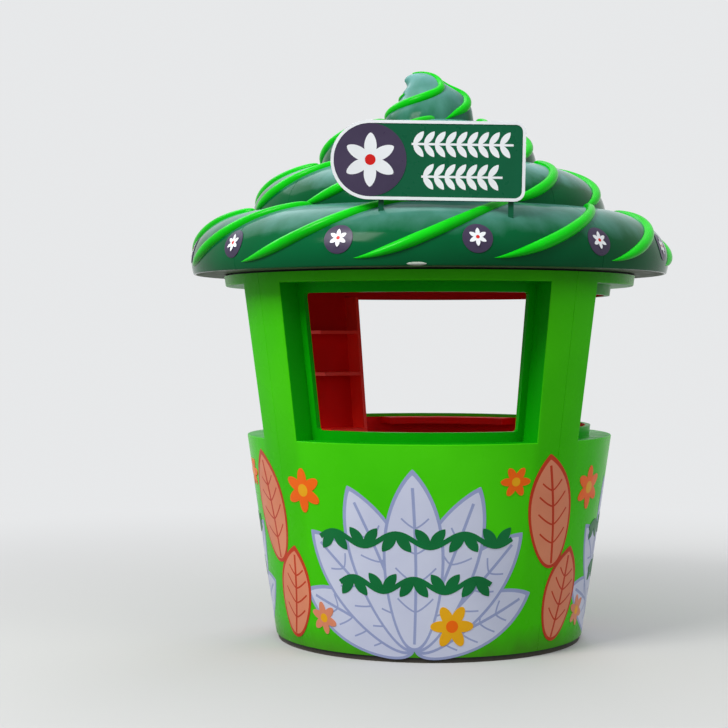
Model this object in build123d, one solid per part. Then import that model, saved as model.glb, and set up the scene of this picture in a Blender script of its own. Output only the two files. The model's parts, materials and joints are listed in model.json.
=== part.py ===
from build123d import *
import os
from math import cos, radians, sin

os.makedirs("parts", exist_ok=True)

# Street kiosk shaped like a tapered cup under a swirled cream roof.
# Millimetres, +Z up, standing on the ground at z = 0, the front window facing -Y.
# Azimuths are degrees round the kiosk's axis: 0 is the front, 90 the +X side, 180 the rear.

# Tapered body: one straight cone, wider at the top
FOOT_RADIUS = 839.0
WALL_FLARE = 0.145
SHELL_DEPTH = 132.0
LINING_THICK = 18.0
WALL_DEPTH = SHELL_DEPTH + LINING_THICK

# Black base board and the floor on it
BASE_HEIGHT = 28.0
BASE_SETBACK = 8.0
FLOOR_THICK = 22.0
FIT_GAP = 0.3

# Window openings: an outer recess, and a smaller hole through a set-back lip
SILL_HEIGHT = 1114.0
HEAD_HEIGHT = 1920.0
TOP_BAND_HEIGHT = 54.0
FRONT_HALF_ANGLE = 37.8
SIDE_HALF_ANGLE = 35.0
LIP_ANGLE = 2.4
LIP_RISE = 51.0
LIP_DROP = 50.0
RECESS_DEPTH = 120.0

# Rear half door
THRESHOLD_HEIGHT = 120.0
DOOR_GAP = 6.0
DOOR_CAP_THICK = 18.0
DOOR_CAP_OVERHANG = 2.0
LEDGE_THICK = 38.0
LEDGE_DEPTH = 120.0
LEDGE_LATCH_INSET = 160.0
LEDGE_HINGE_INSET = 50.0

# Door hinges, whose pins are upright although the wall leans out
PIN_STANDOFF = 10.0
PIN_RADIUS = 6.0
PIN_CLEARANCE = 0.3
KNUCKLE_RADIUS = 12.0
KNUCKLE_HEIGHT = 26.0
KNUCKLE_END_GAP = 1.0
LUG_RADIUS = 14.0
LUG_THICK = 8.0
PIN_OVERHANG = 4.0
ARM_THICK = 10.0
HINGE_LEAF_THICK = 6.0
HINGE_LEAF_NEAR = 14.0
HINGE_LEAF_FAR = 84.0
HINGE_LEAF_HEIGHT = 96.0
TOP_HINGE_BELOW_SILL = 74.0
LOW_HINGE_ABOVE_DOOR = 354.0
ARM_REACH = 52.0

# Slide bolt inside the door, drawn back
BOLT_BELOW_SILL = 74.0
BOLT_PLATE_LENGTH = 90.0
BOLT_PLATE_HEIGHT = 44.0
BOLT_PLATE_THICK = 3.0
BOLT_RADIUS = 6.0
BOLT_EDGE_INSET = 14.0
BOLT_CLEARANCE = 1.0
KEEPER_LENGTH = 26.0
KEEPER_DEPTH = 27.0

# Shelf unit on the rear pier
SHELF_DEPTH = 140.0
SHELF_BOARD_THICK = 20.0
SHELF_SIDE_BELOW_SILL = 44.0
SHELF_SIDE_OVER_HEAD = 10.0
SHELF_SPACING = (-9.0, 323.0, 568.0)

# Dark seat under the roof, and the pale board that is both soffit and ceiling
SEAT_THICK = 10.0
SEAT_SETBACK = 30.0
SOFFIT_THICK = 12.0

# Roof tiers: each is a quarter ellipse turned round the axis
ROOF_TURN = 4.5
ROOF_SKIN = 12.0
LIP_HEIGHT = 66.0
LIP_TUCK = 11.0
LIP_RETURN = 30.0
TIER_1_REACH = 1303.0
TIER_1_RISE = 266.0
TIER_2_REACH = 965.0
TIER_2_RISE = 263.0
TIER_2_SETBACK = 5.0
TIER_3_REACH = 590.0
TIER_3_RISE = 225.0
TIER_3_OVERHANG = 90.0
TIER_STEP = 3.0
TIER_LEDGE = 50.0
TIER_SKIRT = 30.0

# Raised ribs that sweep round each tier from a pointed tip to the tier's top edge
RIB_RISE_POWER = 1.4
RIB_SIDES = 8
RIB_LIFT = 0.25
RIB_STATIONS = ((0.0, 0.08), (0.12, 0.5), (0.3, 0.95), (0.5, 1.0), (0.7, 0.9), (0.88, 0.66), (1.0, 0.2))
TIER_1_RIBS = 12
TIER_1_RIB_RADIUS = 32.0
TIER_1_RIB_START = -15.4
TIER_1_RIB_SWEEP = 40.0
TIER_1_RIB_TOP = 84.0
TIER_2_RIBS = 11
TIER_2_RIB_RADIUS = 28.0
TIER_2_RIB_START = -8.5
TIER_2_RIB_SWEEP = 40.0
TIER_2_RIB_TOP = 74.0
TIER_3_RIBS = 7
TIER_3_RIB_RADIUS = 26.0
TIER_3_RIB_START = -1.3
TIER_3_RIB_SWEEP = 58.0
TIER_3_RIB_TOP = 83.0

# Curled peak: each station is height over the third tier, sideways lean, radius and tilt
PEAK_RADIUS = 250.0
PEAK_SETBACK = 20.0
PEAK_STATIONS = (
    (0.0, 0.0, PEAK_RADIUS, 0.0),
    (38.0, 7.0, 244.0, 0.0),
    (75.0, 14.0, 232.0, 0.0),
    (140.0, 18.0, 188.0, 3.0),
    (190.0, 8.0, 140.0, 13.0),
    (222.0, -18.0, 94.0, 31.0),
    (247.0, -50.0, 60.0, 54.0),
    (257.0, -86.0, 41.0, 86.0),
    (243.0, -116.0, 26.0, 122.0),
    (216.0, -129.0, 9.0, 152.0),
)
PEAK_RIBS = 3
PEAK_RIB_RADIUS = 25.0
PEAK_RIB_START = -115.0
PEAK_RIB_SWEEP = 190.0
PEAK_RIB_LOW = 0.02
PEAK_RIB_TOP = 0.88
PEAK_RIB_RISE_POWER = 1.5
PEAK_RIB_STATIONS = (
    (0.0, 0.1),
    (0.12, 0.55),
    (0.25, 0.95),
    (0.38, 1.0),
    (0.5, 0.95),
    (0.62, 0.8),
    (0.75, 0.6),
    (0.88, 0.42),
    (1.0, 0.24),
)

# Round badges on the roof's lip, one to each rib
BADGE_RADIUS = 74.0
BADGE_THICK = 3.0
BADGE_START = -19.4
BADGE_RISE_ANGLE = 15.3

# Oval lamp on the lip
LAMP_WIDTH = 96.0
LAMP_HEIGHT = 19.0
LAMP_THICK = 10.0
LAMP_AZIMUTH = -2.3

# Sign on the roof: round left end, small corners at the right
SIGN_LENGTH = 938.0
SIGN_HEIGHT = 383.0
SIGN_THICK = 18.0
SIGN_SETBACK = 128.0
SIGN_DROP = 13.0
SIGN_TILT = 1.1
SIGN_CORNER = 50.0
SIGN_BORDER_WIDTH = 15.0
SIGN_BORDER_THICK = 3.0
SIGN_DISC_RADIUS = 175.0
SIGN_DISC_THICK = 2.0
SIGN_POST_SIZE = 26.0
SIGN_POST_PLACES = (-222.0, 404.0)
SIGN_POST_BELOW = 200.0
SIGN_POST_ABOVE = 240.0

# Sizes worked out from those above
INNER_FRONT_HALF = FRONT_HALF_ANGLE - LIP_ANGLE
INNER_SIDE_HALF = SIDE_HALF_ANGLE - LIP_ANGLE
LIP_TOP = SILL_HEIGHT + LIP_RISE
INNER_HEAD = HEAD_HEIGHT - LIP_DROP
PIER_FAR_ANGLE = 90 - SIDE_HALF_ANGLE
PIER_MIDDLE = (FRONT_HALF_ANGLE + PIER_FAR_ANGLE) / 2
PIER_HALF_ANGLE = (PIER_FAR_ANGLE - FRONT_HALF_ANGLE) / 2
DOOR_BOTTOM = THRESHOLD_HEIGHT + DOOR_GAP
HINGE_HEIGHTS = (DOOR_BOTTOM + LOW_HINGE_ABOVE_DOOR, SILL_HEIGHT - TOP_HINGE_BELOW_SILL)
BOLT_HEIGHT = SILL_HEIGHT - BOLT_BELOW_SILL
SHELF_SIDE_LOW = SILL_HEIGHT - SHELF_SIDE_BELOW_SILL
SHELF_SIDE_HIGH = INNER_HEAD + SHELF_SIDE_OVER_HEAD
WALL_TOP = HEAD_HEIGHT + TOP_BAND_HEIGHT
SOFFIT_LOW = WALL_TOP + SEAT_THICK
SOFFIT_TOP = SOFFIT_LOW + SOFFIT_THICK
LIP_RADIUS = TIER_1_REACH - LIP_TUCK
TIER_1_CORE = TIER_2_REACH - TIER_2_SETBACK
TIER_2_CORE = TIER_3_REACH - TIER_3_OVERHANG
TIER_3_CORE = PEAK_RADIUS + PEAK_SETBACK
TIER_1_FOOT = SOFFIT_LOW + LIP_HEIGHT
TIER_2_FOOT = TIER_1_FOOT + TIER_1_RISE + TIER_STEP
TIER_3_FOOT = TIER_2_FOOT + TIER_2_RISE + TIER_STEP
PEAK_FOOT = TIER_3_FOOT + TIER_3_RISE
SIGN_FRONT = TIER_1_REACH - SIGN_SETBACK
SIGN_BOTTOM = TIER_1_FOOT + TIER_1_RISE - SIGN_DROP
HINGE_AZIMUTH = 180 - INNER_FRONT_HALF
FAR = 3000.0


def wall_radius(height):
    """Outer radius of the body at a height."""
    return FOOT_RADIUS + WALL_FLARE * height


def body_cone(inset, low, high):
    """The body's cone, drawn in by an inset, between two heights."""
    cone = Cone(
        wall_radius(low) - inset,
        wall_radius(high) - inset,
        high - low,
        align=(Align.CENTER, Align.CENTER, Align.MIN),
    )
    return Pos(0, 0, low) * cone


def wall_ring(outer_inset, inner_inset, low, high):
    """A layer of the wall, all the way round."""
    return body_cone(outer_inset, low, high) - body_cone(inner_inset, low, high)


def sector(azimuth, half_angle, low, high, gap=0.0):
    """A wedge about the axis; gap moves both of its sides inwards, still parallel."""
    apex = -gap / sin(radians(half_angle))
    side = FAR * sin(radians(half_angle))
    end = apex - FAR * cos(radians(half_angle))
    outline = Polyline((0, apex), (side, end), (-side, end), close=True)
    return Rot(0, 0, azimuth) * Pos(0, 0, low) * extrude(make_face(outline), high - low)


def write(name, *solids):
    """One STEP file for one named piece."""
    pieces = [piece for solid in solids for piece in solid.solids()]
    export_step(Compound(pieces), f"parts/{name}.step")


# Base board, floor and the sill across the doorway
base_board = body_cone(BASE_SETBACK, 0, BASE_HEIGHT)
floor_top = BASE_HEIGHT + FLOOR_THICK
floor = body_cone(WALL_DEPTH + FIT_GAP, BASE_HEIGHT, floor_top)
doorway = sector(180, INNER_FRONT_HALF, BASE_HEIGHT, THRESHOLD_HEIGHT)
threshold = wall_ring(0, WALL_DEPTH, BASE_HEIGHT, THRESHOLD_HEIGHT) & doorway
write("base_board", base_board)
write("floor", floor)
write("door_threshold", threshold)

# Lower wall: three moulded segments between the doorway's two sides, and their linings,
# which also run up behind the lip of the window above
side_middle = (PIER_MIDDLE + HINGE_AZIMUTH) / 2
side_half = (HINGE_AZIMUTH - PIER_MIDDLE) / 2
lower_shell = wall_ring(0, SHELL_DEPTH, BASE_HEIGHT, SILL_HEIGHT)
lower_lining = wall_ring(SHELL_DEPTH, WALL_DEPTH, BASE_HEIGHT, SILL_HEIGHT)
upstand = wall_ring(SHELL_DEPTH, WALL_DEPTH, SILL_HEIGHT, LIP_TOP)
for name, azimuth, half, window, window_half in (
    ("front", 0, PIER_MIDDLE, 0, INNER_FRONT_HALF),
    ("right", side_middle, side_half, 90, INNER_SIDE_HALF),
    ("left", -side_middle, side_half, -90, INNER_SIDE_HALF),
):
    cut = sector(azimuth, half, BASE_HEIGHT, SILL_HEIGHT)
    write(f"{name}_lower_wall", lower_shell & cut)
    behind_lip = upstand & sector(window, window_half, SILL_HEIGHT, LIP_TOP)
    write(f"{name}_lower_lining", (lower_lining & cut) + behind_lip)

# Piers between the openings, and the band over them
pier_ring = wall_ring(0, SHELL_DEPTH, SILL_HEIGHT, HEAD_HEIGHT)
for name, azimuth in (
    ("front_right_pier", PIER_MIDDLE),
    ("front_left_pier", -PIER_MIDDLE),
    ("rear_right_pier", 180 - PIER_MIDDLE),
    ("rear_left_pier", PIER_MIDDLE - 180),
):
    write(name, pier_ring & sector(azimuth, PIER_HALF_ANGLE, SILL_HEIGHT, HEAD_HEIGHT))
write("top_band", wall_ring(0, SHELL_DEPTH, HEAD_HEIGHT, WALL_TOP))

# Set-back lips round the openings; the rear one is open below, for the door
lip_ring = wall_ring(RECESS_DEPTH, SHELL_DEPTH, SILL_HEIGHT, HEAD_HEIGHT)
for name, azimuth, half in (
    ("front", 0, FRONT_HALF_ANGLE),
    ("right", 90, SIDE_HALF_ANGLE),
    ("rear", 180, FRONT_HALF_ANGLE),
    ("left", -90, SIDE_HALF_ANGLE),
):
    opening_foot = SILL_HEIGHT if name == "rear" else LIP_TOP
    opening = sector(azimuth, half - LIP_ANGLE, opening_foot, INNER_HEAD)
    write(
        f"{name}_window_lip",
        (lip_ring & sector(azimuth, half, SILL_HEIGHT, HEAD_HEIGHT)) - opening,
    )

# Red lining of the piers, and the ring of it over the openings
pier_lining = wall_ring(SHELL_DEPTH, WALL_DEPTH, SILL_HEIGHT, INNER_HEAD)
lining_half = (90 - INNER_FRONT_HALF - INNER_SIDE_HALF) / 2
lining_middle = INNER_FRONT_HALF + lining_half
pier_linings = []
for azimuth in (lining_middle, 180 - lining_middle, lining_middle - 180, -lining_middle):
    pier_linings.append(pier_lining & sector(azimuth, lining_half, SILL_HEIGHT, INNER_HEAD))
write("pier_linings", *pier_linings)
write("header_lining", wall_ring(SHELL_DEPTH, WALL_DEPTH, INNER_HEAD, WALL_TOP))

# Rear half door: moulded panel with its own sill and lip, lining, cap and inner ledge
door_space = sector(180, INNER_FRONT_HALF, DOOR_BOTTOM, LIP_TOP + DOOR_CAP_THICK, DOOR_GAP)
door_panel = wall_ring(0, SHELL_DEPTH, DOOR_BOTTOM, SILL_HEIGHT)
door_panel += wall_ring(RECESS_DEPTH, SHELL_DEPTH, SILL_HEIGHT, LIP_TOP)
door_lining = wall_ring(SHELL_DEPTH, WALL_DEPTH, DOOR_BOTTOM, LIP_TOP)
cap_top = LIP_TOP + DOOR_CAP_THICK
door_cap = wall_ring(
    RECESS_DEPTH - DOOR_CAP_OVERHANG,
    WALL_DEPTH + DOOR_CAP_OVERHANG,
    LIP_TOP,
    cap_top,
)
write("door_panel", door_panel & door_space)
write("door_lining", door_lining & door_space)
write("door_cap", door_cap & door_space)
ledge_low = LIP_TOP - LEDGE_THICK
ledge = wall_ring(WALL_DEPTH, WALL_DEPTH + LEDGE_DEPTH, ledge_low, LIP_TOP)
ledge &= sector(180, INNER_FRONT_HALF, ledge_low, LIP_TOP, LEDGE_HINGE_INSET)
latch_side = sector(180, INNER_FRONT_HALF, ledge_low, LIP_TOP, LEDGE_LATCH_INSET)
latch_half = Pos(FAR / 2, 0, ledge_low) * Box(
    FAR, 2 * FAR, 2 * LEDGE_THICK, align=(Align.CENTER, Align.CENTER, Align.MIN)
)
write("door_ledge", ledge & (latch_half + latch_side))


# Hinges: fixed lugs with the pin, and a moving knuckle on an arm
pin_place = wall_radius(SILL_HEIGHT) + PIN_STANDOFF


def hinge_arm(height, thick, reach, near):
    """A flat arm from the pin to the wall, along +X of its own frame at azimuth 0."""
    wall = -wall_radius(height - HINGE_LEAF_HEIGHT) + HINGE_LEAF_THICK
    outline = Polyline(
        (-LUG_RADIUS, -pin_place), (LUG_RADIUS, -pin_place), (reach, wall), (near, wall), close=True
    )
    flat = make_face(outline) + Pos(0, -pin_place) * Circle(LUG_RADIUS)
    return Pos(0, 0, height - thick / 2) * extrude(flat, thick)


def hinge_leaf(height):
    """A pad that lies on the wall beside the pin, on the +X side."""
    low = height - HINGE_LEAF_HEIGHT / 2
    high = height + HINGE_LEAF_HEIGHT / 2
    block = Pos((HINGE_LEAF_NEAR + HINGE_LEAF_FAR) / 2, -pin_place, height) * Box(
        HINGE_LEAF_FAR - HINGE_LEAF_NEAR, pin_place, HINGE_LEAF_HEIGHT
    )
    return wall_ring(-HINGE_LEAF_THICK, 0, low, high) & block


def moving_hinge(height):
    """Leaf, arm and bored knuckle that turn with the door."""
    knuckle = Pos(0, -pin_place, height) * Cylinder(KNUCKLE_RADIUS, KNUCKLE_HEIGHT)
    bore = Pos(0, -pin_place, height) * Cylinder(PIN_RADIUS + PIN_CLEARANCE, 2 * KNUCKLE_HEIGHT)
    arm = hinge_arm(height, ARM_THICK, ARM_REACH, HINGE_LEAF_NEAR)
    arm -= body_cone(0, height - HINGE_LEAF_HEIGHT, height + HINGE_LEAF_HEIGHT)
    return hinge_leaf(height) + arm + knuckle - bore


def fixed_hinge(height):
    """Leaf, two lugs and the pin that stay on the wall."""
    shape = mirror(hinge_leaf(height), Plane.YZ)
    lug_middle = KNUCKLE_HEIGHT / 2 + KNUCKLE_END_GAP + LUG_THICK / 2
    for side in (-1, 1):
        lug = hinge_arm(height + side * lug_middle, LUG_THICK, ARM_REACH, HINGE_LEAF_NEAR)
        shape += mirror(lug, Plane.YZ)
    shape -= body_cone(0, height - HINGE_LEAF_HEIGHT, height + HINGE_LEAF_HEIGHT)
    pin_length = 2 * (lug_middle + LUG_THICK / 2 + PIN_OVERHANG)
    return shape + Pos(0, -pin_place, height) * Cylinder(PIN_RADIUS, pin_length)


write("door_hinges", *[Rot(0, 0, HINGE_AZIMUTH) * moving_hinge(z) for z in HINGE_HEIGHTS])
write("frame_hinges", *[Rot(0, 0, HINGE_AZIMUTH) * fixed_hinge(z) for z in HINGE_HEIGHTS])

# Slide bolt inside the door, drawn back, and the keeper beside it on the fixed lining
bolt_wall = wall_radius(BOLT_HEIGHT) - WALL_DEPTH
bolt_place = Rot(0, 0, -HINGE_AZIMUTH) * Pos(0, -bolt_wall, BOLT_HEIGHT)
bolt_middle = -(DOOR_GAP + BOLT_EDGE_INSET + BOLT_PLATE_LENGTH / 2)
bolt_plate = bolt_place * Pos(bolt_middle, 0, 0) * Box(BOLT_PLATE_LENGTH, bolt_wall, BOLT_PLATE_HEIGHT)
bolt_low = BOLT_HEIGHT - BOLT_PLATE_HEIGHT / 2
bolt_high = BOLT_HEIGHT + BOLT_PLATE_HEIGHT / 2
bolt_plate &= wall_ring(WALL_DEPTH, WALL_DEPTH + BOLT_PLATE_THICK, bolt_low, bolt_high)
rod_line = BOLT_PLATE_THICK + 2 * BOLT_RADIUS
rod = Rot(0, 90, 0) * Cylinder(BOLT_RADIUS, BOLT_PLATE_LENGTH)
bolt = bolt_plate + bolt_place * Pos(bolt_middle, rod_line, 0) * rod
for side in (-1, 1):
    guide = Box(2 * BOLT_RADIUS, 2 * rod_line, 3 * BOLT_RADIUS)
    guide = bolt_place * Pos(bolt_middle + side * BOLT_PLATE_LENGTH / 3, rod_line / 2, 0) * guide
    bolt += guide & body_cone(WALL_DEPTH, bolt_low, bolt_high)
write("door_bolt", bolt)
keeper = Box(KEEPER_LENGTH, 2 * KEEPER_DEPTH, 3 * BOLT_RADIUS)
keeper = bolt_place * Pos(DOOR_GAP + KEEPER_LENGTH / 2, 0, 0) * keeper
keeper &= body_cone(WALL_DEPTH, bolt_low, bolt_high)
keeper_bore = Rot(0, 90, 0) * Cylinder(BOLT_RADIUS + BOLT_CLEARANCE, 3 * KEEPER_LENGTH)
write("bolt_keeper", keeper - bolt_place * Pos(0, rod_line, 0) * keeper_bore)

# Shelf unit on the rear pier: an upright side board and three boards that run from it
shelf_side = wall_ring(WALL_DEPTH, WALL_DEPTH + SHELF_DEPTH, SHELF_SIDE_LOW, SHELF_SIDE_HIGH)
side_block = Pos(SHELF_BOARD_THICK / 2, -FOOT_RADIUS, (SHELF_SIDE_LOW + SHELF_SIDE_HIGH) / 2) * Box(
    SHELF_BOARD_THICK, FOOT_RADIUS, SHELF_SIDE_HIGH - SHELF_SIDE_LOW
)
write("shelf_side", shelf_side & Rot(0, 0, -HINGE_AZIMUTH) * side_block)
shelf_boards = []
shelf_half = (HINGE_AZIMUTH - (90 + INNER_SIDE_HALF)) / 2
for over_sill in SHELF_SPACING:
    top = SILL_HEIGHT + over_sill
    board = wall_ring(WALL_DEPTH, WALL_DEPTH + SHELF_DEPTH, top - SHELF_BOARD_THICK, top)
    board &= sector(shelf_half - HINGE_AZIMUTH, shelf_half, top - SHELF_BOARD_THICK, top)
    shelf_boards.append(board - Rot(0, 0, -HINGE_AZIMUTH) * side_block)
write("shelf_boards", *shelf_boards)


def flat_ring(outer, inner, low, high):
    """A flat ring about the axis."""
    height = high - low
    ring = Cylinder(outer, height) - Cylinder(inner, height)
    return Pos(0, 0, (low + high) / 2) * ring


# Seat and soffit board
seat_outer = wall_radius(WALL_TOP) - SEAT_SETBACK
seat_inner = wall_radius(WALL_TOP) - WALL_DEPTH
write("roof_seat", flat_ring(seat_outer, seat_inner, WALL_TOP, SOFFIT_LOW))
soffit = Pos(0, 0, SOFFIT_LOW + SOFFIT_THICK / 2) * Cylinder(LIP_RADIUS - ROOF_SKIN - FIT_GAP, SOFFIT_THICK)
write("roof_soffit", soffit)


def tier_face(core, spread, foot, rise, skirt, flare, grow=0.0):
    """Half section of one tier, filled to the axis: skirt, quarter ellipse and flat top."""
    arc = EllipticalCenterArc((core, foot), spread + grow, rise + grow, arc_size=90)
    edges = Polyline(
        (core, foot + rise + grow),
        (0, foot + rise + grow),
        (0, foot - skirt),
        (core + spread + grow - flare, foot - skirt),
        (core + spread + grow, foot),
    )
    return Plane.XZ * make_face(Curve() + [arc, edges])


def tier_block(core, spread, foot, rise, skirt, flare, grow=0.0):
    """A tier filled to the axis, to trim what stands on it."""
    return revolve(tier_face(core, spread, foot, rise, skirt, flare, grow), Axis.Z)


def tier(core, spread, foot, rise, skirt, flare):
    """A tier's moulded skin, open below, with a flat ledge on top that carries the next."""
    slopes = []
    for climb in (0, 30, 60, 90):
        reach = core + (spread - ROOF_SKIN) * cos(radians(climb))
        slopes.append((reach, foot + (rise - ROOF_SKIN) * sin(radians(climb))))
    lowest = (core + spread - ROOF_SKIN - flare, foot - skirt)
    hollow = Polyline(lowest, *slopes, (0, foot + rise - ROOF_SKIN), (0, foot - skirt), close=True)
    skin = tier_block(core, spread, foot, rise, skirt, flare)
    skin -= revolve(Plane.XZ * make_face(hollow), Axis.Z)
    return skin - Pos(0, 0, foot + rise) * Cylinder(core - TIER_LEDGE, 4 * ROOF_SKIN)


TIER_1 = (TIER_1_CORE, TIER_1_REACH - TIER_1_CORE, TIER_1_FOOT, TIER_1_RISE, LIP_HEIGHT, LIP_TUCK)
TIER_2 = (TIER_2_CORE, TIER_2_REACH - TIER_2_CORE, TIER_2_FOOT, TIER_2_RISE, TIER_SKIRT, 0)
TIER_3 = (TIER_3_CORE, TIER_3_REACH - TIER_3_CORE, TIER_3_FOOT, TIER_3_RISE, TIER_SKIRT, 0)
block_1 = tier_block(*TIER_1)
block_2 = tier_block(*TIER_2)
block_3 = tier_block(*TIER_3)
flange_outer = LIP_RADIUS - ROOF_SKIN / 2
flange = flat_ring(flange_outer, flange_outer - LIP_RETURN, SOFFIT_TOP, SOFFIT_TOP + ROOF_SKIN)
write("roof_tier_1", tier(*TIER_1) + flange)
write("roof_tier_2", tier(*TIER_2) - block_1)
write("roof_tier_3", tier(*TIER_3) - block_2)

# Curled peak on the third tier's ledge
peak_places = [
    Pos(lean, 0, PEAK_FOOT + over) * Rot(0, -tilt, 0) for over, lean, radius, tilt in PEAK_STATIONS
]
peak_radii = [radius for over, lean, radius, tilt in PEAK_STATIONS]
peak = loft([place * Circle(radius) for place, radius in zip(peak_places, peak_radii)])
write("roof_peak", Rot(0, 0, ROOF_TURN) * peak)


def rib(points, outward, sizes, radius):
    """A tapered round rib through the points, lifted off the surface that carries it."""
    lifted = [p + n * (RIB_LIFT * radius * s) for p, n, s in zip(points, outward, sizes)]
    line = Spline(*lifted)
    sections = []
    for point, normal, size in zip(lifted, outward, sizes):
        along = line % line.param_at_point(point)
        place = Plane(origin=point, x_dir=normal, z_dir=along)
        sections.append(place * RegularPolygon(radius * size, RIB_SIDES))
    return loft(sections, ruled=True)


def tier_rib(core, spread, foot, rise, top_angle, radius, start, sweep):
    """One rib that sweeps round a tier as it climbs."""
    points = []
    outward = []
    for t, size in RIB_STATIONS:
        climb = radians(top_angle * t**RIB_RISE_POWER)
        turn = radians(start + sweep * t)
        reach = core + spread * cos(climb)
        points.append(Vector(reach * sin(turn), -reach * cos(turn), foot + rise * sin(climb)))
        side = cos(climb) / spread
        up = sin(climb) / rise
        outward.append(Vector(side * sin(turn), -side * cos(turn), up).normalized())
    return rib(points, outward, [size for t, size in RIB_STATIONS], radius)


ribs_on = {}
for number, block, shape, count, radius, start, sweep, top_angle in (
    (1, block_1, TIER_1, TIER_1_RIBS, TIER_1_RIB_RADIUS, TIER_1_RIB_START, TIER_1_RIB_SWEEP, TIER_1_RIB_TOP),
    (2, block_2, TIER_2, TIER_2_RIBS, TIER_2_RIB_RADIUS, TIER_2_RIB_START, TIER_2_RIB_SWEEP, TIER_2_RIB_TOP),
    (3, block_3, TIER_3, TIER_3_RIBS, TIER_3_RIB_RADIUS, TIER_3_RIB_START, TIER_3_RIB_SWEEP, TIER_3_RIB_TOP),
):
    one = tier_rib(*shape[:4], top_angle, radius, start + ROOF_TURN, sweep) - block
    ribs_on[number] = [Rot(0, 0, 360 * k / count) * one for k in range(count)]
    write(f"ribs_tier_{number}", *ribs_on[number])

# Ribs that wind round the peak's side to its tip
peak_side = max(peak.faces(), key=lambda face: face.area)
peak_rib_solids = []
for k in range(PEAK_RIBS):
    points = []
    outward = []
    for t, size in PEAK_RIB_STATIONS:
        turn = PEAK_RIB_START + PEAK_RIB_SWEEP * t + 360 * k / PEAK_RIBS
        climb = PEAK_RIB_LOW + (PEAK_RIB_TOP - PEAK_RIB_LOW) * t**PEAK_RIB_RISE_POWER
        point = peak_side.position_at((turn - 90) / 360 % 1, climb)
        points.append(point)
        outward.append(peak_side.normal_at(point))
    one = rib(points, outward, [size for t, size in PEAK_RIB_STATIONS], PEAK_RIB_RADIUS)
    peak_rib_solids.append(Rot(0, 0, ROOF_TURN) * (one - peak - block_3))
write("ribs_peak", *peak_rib_solids)

# Round badges, thin skins that follow the first tier
badge_skin = tier_block(*TIER_1, BADGE_THICK) - block_1
badge_climb = radians(BADGE_RISE_ANGLE)
badge_height = TIER_1_FOOT + TIER_1_RISE * sin(badge_climb)
badges = []
for k in range(TIER_1_RIBS):
    punch = Pos(0, -TIER_1_REACH, badge_height)
    punch *= Rot(90 - BADGE_RISE_ANGLE, 0, 0) * Cylinder(BADGE_RADIUS, TIER_1_REACH / 4)
    turn = BADGE_START + ROOF_TURN + 360 * k / TIER_1_RIBS
    badges.append(badge_skin & Rot(0, 0, turn) * punch)
write("roof_badges", *badges)

# Lamp: an oval lens on the lip
lens = SlotOverall(LAMP_WIDTH, LAMP_HEIGHT)
lens = Pos(0, -LIP_RADIUS - LAMP_THICK, SOFFIT_LOW + LAMP_HEIGHT / 2) * Rot(90, 0, 0) * lens
lamp = extrude(lens, 4 * LAMP_THICK, dir=(0, 1, 0)) - block_1
write("lip_lamp", Rot(0, 0, ROOF_TURN + LAMP_AZIMUTH) * lamp)

# Sign: board, border frame, blank disc, and the posts that stand on the first tier and on
# any rib of it that runs under them


def sign_outline(inset):
    """The board's outline, drawn in by an inset: one round end, two small corners."""
    end_radius = SIGN_HEIGHT / 2 - inset
    corner = SIGN_CORNER - inset
    left = -SIGN_LENGTH / 2 + SIGN_HEIGHT / 2
    right = SIGN_LENGTH / 2 - inset
    straight = Line((left, -end_radius), (right - corner, -end_radius))
    lower = TangentArc(straight @ 1, (right, -end_radius + corner), tangent=(1, 0))
    side = Line(lower @ 1, (right, end_radius - corner))
    upper = TangentArc(side @ 1, (right - corner, end_radius), tangent=(0, 1))
    back = Line(upper @ 1, (left, end_radius))
    end = TangentArc(back @ 1, (left, -end_radius), tangent=(-1, 0))
    return make_face(Curve() + [straight, lower, side, upper, back, end])


def in_sign(flat, front, thick):
    """A flat shape on the sign, from its front face backwards."""
    place = Rot(0, 0, ROOF_TURN) * Pos(0, -front, SIGN_BOTTOM + SIGN_HEIGHT / 2) * Rot(0, SIGN_TILT, 0)
    return extrude(place * Rot(90, 0, 0) * flat, -thick)


board = in_sign(sign_outline(0), SIGN_FRONT, SIGN_THICK)
border_flat = sign_outline(0) - sign_outline(SIGN_BORDER_WIDTH)
border = in_sign(border_flat, SIGN_FRONT + SIGN_BORDER_THICK, SIGN_BORDER_THICK)
disc_flat = Pos(-SIGN_LENGTH / 2 + SIGN_HEIGHT / 2, 0) * Circle(SIGN_DISC_RADIUS)
disc = in_sign(disc_flat, SIGN_FRONT + SIGN_DISC_THICK, SIGN_DISC_THICK)
write("sign_board", board)
write("sign_border", border)
write("sign_disc", disc)
posts = []
for place in SIGN_POST_PLACES:
    middle = (SIGN_POST_ABOVE - SIGN_POST_BELOW - SIGN_HEIGHT) / 2
    post = Pos(place, middle) * Rectangle(SIGN_POST_SIZE, SIGN_POST_ABOVE + SIGN_POST_BELOW)
    posts.append(in_sign(post, SIGN_FRONT - SIGN_THICK, SIGN_POST_SIZE) - block_1 - ribs_on[1])
write("sign_posts", *posts)
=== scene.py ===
# %% [markdown]
# # A street kiosk under a swirled roof
#
# The kiosk is a round cup of moulded glass fibre with four windows cut through it. On top
# sits a roof like whipped cream: three turned tiers, bright ribs that sweep round them, and
# a peak that curls over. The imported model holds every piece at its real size. Here we give
# it surfaces: gel coat, paint and print, and finer meshes for the curved mouldings.
#
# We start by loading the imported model. Each of its nodes comes in as one object at the
# origin, with its place in its mesh, and the numbers below are read from those boxes.

# %% Load the model and measure it
import json
from math import atan2, cos, pi, radians, sin, sqrt, tan

import bmesh
import bpy
from mathutils import Matrix, Vector


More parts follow.
